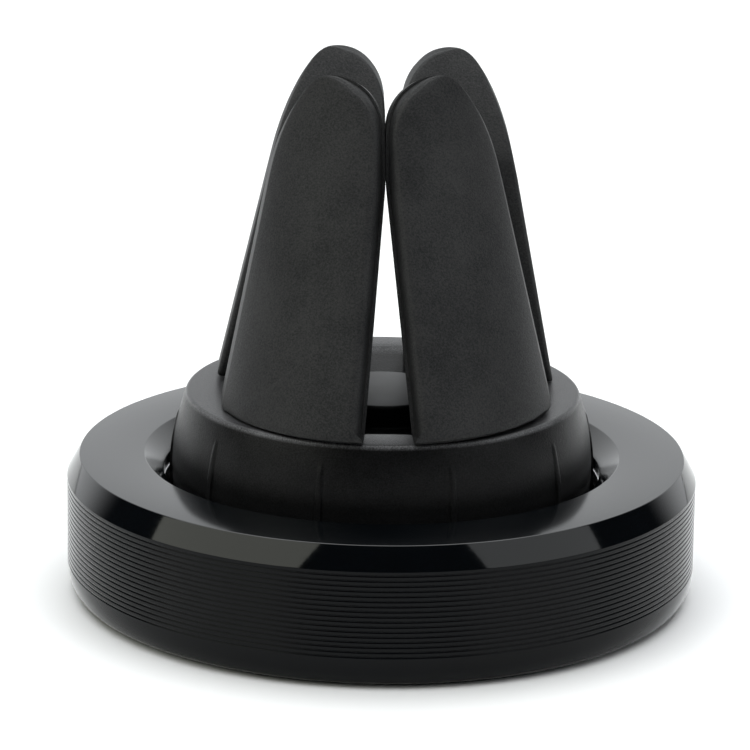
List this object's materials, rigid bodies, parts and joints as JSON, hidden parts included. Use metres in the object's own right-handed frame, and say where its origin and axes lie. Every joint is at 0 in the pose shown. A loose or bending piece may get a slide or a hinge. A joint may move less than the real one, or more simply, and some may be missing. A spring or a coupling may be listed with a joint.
{
  "type": "car phone mount",
  "caption": "Magnetic phone mount for a car air vent: a turned aluminium ring holds the phone, and a swivelling collar carries sprung rubber fingers that grip a vent blade.",
  "frame": {"origin": "centre of the round phone face, on the surface it stands on", "axes": "+Z from the phone face to the finger tips; the two slots between the fingers run along X and Y"},
  "size_m": [0.045, 0.045, 0.0385],
  "materials": {
    "anodised_aluminium": "black anodised, turned",
    "bright_steel": "bright",
    "pad_rubber": "matte",
    "black_plastic": "moulded",
    "plated_steel": "zinc plated",
    "nylon": "natural nylon",
    "cap_plastic": "satin",
    "collar_rubber": "matte, fine grain",
    "magnet_plating": "nickel plated",
    "finger_rubber": "matte, fine grain"
  },
  "bodies": {
    "housing": {"housing_shell": "anodised_aluminium", "recess_ring": "bright_steel", "phone_pad": "pad_rubber", "magnet_carrier": "black_plastic", "magnet_1": "magnet_plating", "magnet_2": "magnet_plating", "magnet_3": "magnet_plating", "magnet_4": "magnet_plating", "magnet_5": "magnet_plating", "magnet_6": "magnet_plating", "yoke_plate": "plated_steel", "yoke_screws": "plated_steel", "ball_stud": "plated_steel", "stud_nut": "plated_steel"},
    "liner": {"socket_liner": "nylon"},
    "cup": {"socket_cup": "black_plastic", "socket_cap": "cap_plastic", "cup_ring": "plated_steel"},
    "clip": {"collar": "collar_rubber", "clip_hub": "black_plastic", "hub_screws": "plated_steel"},
    "finger_1": {"finger_core_1": "black_plastic", "finger_sleeve_1": "finger_rubber"},
    "finger_2": {"finger_core_2": "black_plastic", "finger_sleeve_2": "finger_rubber"},
    "finger_3": {"finger_core_3": "black_plastic", "finger_sleeve_3": "finger_rubber"},
    "finger_4": {"finger_core_4": "black_plastic", "finger_sleeve_4": "finger_rubber"}
  },
  "joints": [
    {"name": "swivel_about_x", "type": "hinge", "parent": "housing", "child": "liner", "pos_m": [0, 0, 0.0092], "axis": [1, 0, 0], "range_deg": [-8, 8]},
    {"name": "swivel_about_y", "type": "hinge", "parent": "liner", "child": "cup", "pos_m": [0, 0, 0.0092], "axis": [0, 1, 0], "range_deg": [-8, 8]},
    {"name": "clip_spin", "type": "hinge", "parent": "cup", "child": "clip", "pos_m": [0, 0, 0.0092], "axis": [0, 0, 1], "continuous": true},
    {"name": "finger_flex_1", "type": "hinge", "parent": "clip", "child": "finger_1", "pos_m": [-0.00912, -0.00912, 0.01485], "axis": [0.7071, -0.7071, 0], "range_deg": [0, 6], "stiffness_Nm_per_rad": 0.1, "springref_deg": -2.86},
    {"name": "finger_flex_2", "type": "hinge", "parent": "clip", "child": "finger_2", "pos_m": [0.00912, -0.00912, 0.01485], "axis": [0.7071, 0.7071, 0], "range_deg": [0, 6], "stiffness_Nm_per_rad": 0.1, "springref_deg": -2.86},
    {"name": "finger_flex_3", "type": "hinge", "parent": "clip", "child": "finger_3", "pos_m": [0.00912, 0.00912, 0.01485], "axis": [-0.7071, 0.7071, 0], "range_deg": [0, 6], "stiffness_Nm_per_rad": 0.1, "springref_deg": -2.86},
    {"name": "finger_flex_4", "type": "hinge", "parent": "clip", "child": "finger_4", "pos_m": [-0.00912, 0.00912, 0.01485], "axis": [-0.7071, -0.7071, 0], "range_deg": [0, 6], "stiffness_Nm_per_rad": 0.1, "springref_deg": -2.86}
  ]
}
